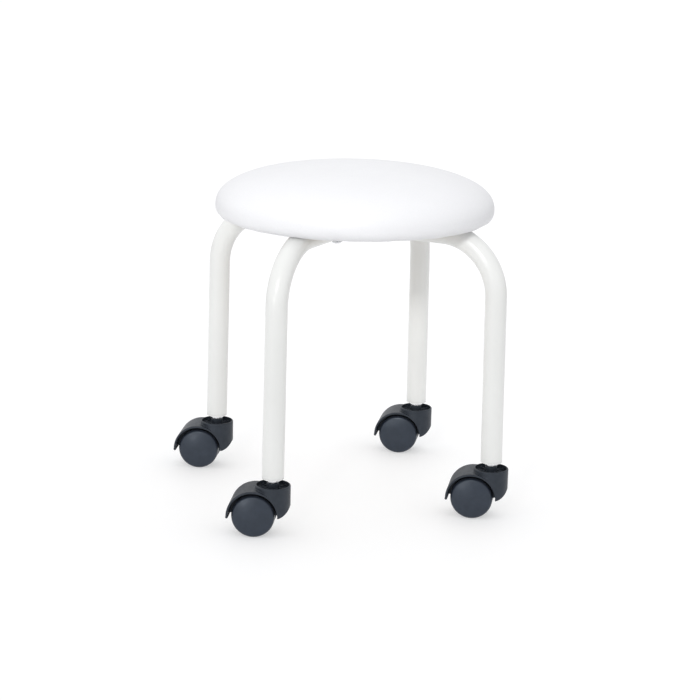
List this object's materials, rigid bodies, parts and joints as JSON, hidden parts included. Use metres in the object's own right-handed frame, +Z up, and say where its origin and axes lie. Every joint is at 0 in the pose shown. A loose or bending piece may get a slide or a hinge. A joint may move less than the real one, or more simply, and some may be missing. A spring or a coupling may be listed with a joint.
{
  "type": "salon stool",
  "caption": "Low round padded stool on a crossed bent-tube frame with four twin-wheel swivel casters.",
  "frame": {"origin": "point on the floor under the middle of the seat, on the stool's upright axis", "axes": "+Z up, -Y towards the front, +X to the right; the legs stand on the diagonals"},
  "size_m": [0.356, 0.3428, 0.4021],
  "materials": {
    "vinyl": "smooth white vinyl with a soft gloss",
    "foam": "open-cell upholstery foam",
    "plywood": "raw birch plywood",
    "paint": "glossy warm-white powder coat",
    "zinc": "bright zinc-plated steel",
    "spring_steel": "dark spring steel",
    "nylon": "natural nylon",
    "hood_plastic": "satin charcoal nylon",
    "wheel_plastic": "satin charcoal nylon, polished by rolling at the tread"
  },
  "bodies": {
    "root": {"seat_cover": "vinyl", "seat_foam": "foam", "seat_board": "plywood", "cover_staples": "zinc", "tee_nuts": "zinc", "seat_screws": "zinc", "seat_washers": "zinc", "cross_tube": "paint", "front_right_tube": "paint", "back_left_tube": "paint", "weld_beads": "paint", "front_left_leg_plug": "nylon", "front_left_caster_stem": "zinc", "front_left_stem_ring": "spring_steel", "front_right_leg_plug": "nylon", "front_right_caster_stem": "zinc", "front_right_stem_ring": "spring_steel", "back_right_leg_plug": "nylon", "back_right_caster_stem": "zinc", "back_right_stem_ring": "spring_steel", "back_left_leg_plug": "nylon", "back_left_caster_stem": "zinc", "back_left_stem_ring": "spring_steel"},
    "front_left_caster": {"front_left_caster_hood": "hood_plastic", "front_left_axle": "zinc"},
    "front_left_wheel_near": {"front_left_near_wheel": "wheel_plastic"},
    "front_left_wheel_far": {"front_left_far_wheel": "wheel_plastic"},
    "front_right_caster": {"front_right_caster_hood": "hood_plastic", "front_right_axle": "zinc"},
    "front_right_wheel_near": {"front_right_near_wheel": "wheel_plastic"},
    "front_right_wheel_far": {"front_right_far_wheel": "wheel_plastic"},
    "back_right_caster": {"back_right_caster_hood": "hood_plastic", "back_right_axle": "zinc"},
    "back_right_wheel_near": {"back_right_near_wheel": "wheel_plastic"},
    "back_right_wheel_far": {"back_right_far_wheel": "wheel_plastic"},
    "back_left_caster": {"back_left_caster_hood": "hood_plastic", "back_left_axle": "zinc"},
    "back_left_wheel_near": {"back_left_near_wheel": "wheel_plastic"},
    "back_left_wheel_far": {"back_left_far_wheel": "wheel_plastic"}
  },
  "joints": [
    {"name": "front_left_swivel", "type": "hinge", "parent": "root", "child": "front_left_caster", "pos_m": [-0.13396, -0.13396, 0.0624], "axis": [0, 0, 1], "continuous": true},
    {"name": "front_left_near_roll", "type": "hinge", "parent": "front_left_caster", "child": "front_left_wheel_near", "pos_m": [-0.15302, -0.12587, 0.025], "axis": [-0.3907, -0.9205, 0], "continuous": true},
    {"name": "front_left_far_roll", "type": "hinge", "parent": "front_left_caster", "child": "front_left_wheel_far", "pos_m": [-0.15302, -0.12587, 0.025], "axis": [-0.3907, -0.9205, 0], "continuous": true},
    {"name": "front_right_swivel", "type": "hinge", "parent": "root", "child": "front_right_caster", "pos_m": [0.13396, -0.13396, 0.0624], "axis": [0, 0, 1], "continuous": true},
    {"name": "front_right_near_roll", "type": "hinge", "parent": "front_right_caster", "child": "front_right_wheel_near", "pos_m": [0.11552, -0.12456, 0.025], "axis": [-0.454, -0.891, 0], "continuous": true},
    {"name": "front_right_far_roll", "type": "hinge", "parent": "front_right_caster", "child": "front_right_wheel_far", "pos_m": [0.11552, -0.12456, 0.025], "axis": [-0.454, -0.891, 0], "continuous": true},
    {"name": "back_right_swivel", "type": "hinge", "parent": "root", "child": "back_right_caster", "pos_m": [0.13396, 0.13396, 0.0624], "axis": [0, 0, 1], "continuous": true},
    {"name": "back_right_near_roll", "type": "hinge", "parent": "back_right_caster", "child": "back_right_wheel_near", "pos_m": [0.11552, 0.14336, 0.025], "axis": [-0.454, -0.891, 0], "continuous": true},
    {"name": "back_right_far_roll", "type": "hinge", "parent": "back_right_caster", "child": "back_right_wheel_far", "pos_m": [0.11552, 0.14336, 0.025], "axis": [-0.454, -0.891, 0], "continuous": true},
    {"name": "back_left_swivel", "type": "hinge", "parent": "root", "child": "back_left_caster", "pos_m": [-0.13396, 0.13396, 0.0624], "axis": [0, 0, 1], "continuous": true},
    {"name": "back_left_near_roll", "type": "hinge", "parent": "back_left_caster", "child": "back_left_wheel_near", "pos_m": [-0.15287, 0.14238, 0.025], "axis": [-0.4067, -0.9135, 0], "continuous": true},
    {"name": "back_left_far_roll", "type": "hinge", "parent": "back_left_caster", "child": "back_left_wheel_far", "pos_m": [-0.15287, 0.14238, 0.025], "axis": [-0.4067, -0.9135, 0], "continuous": true}
  ]
}
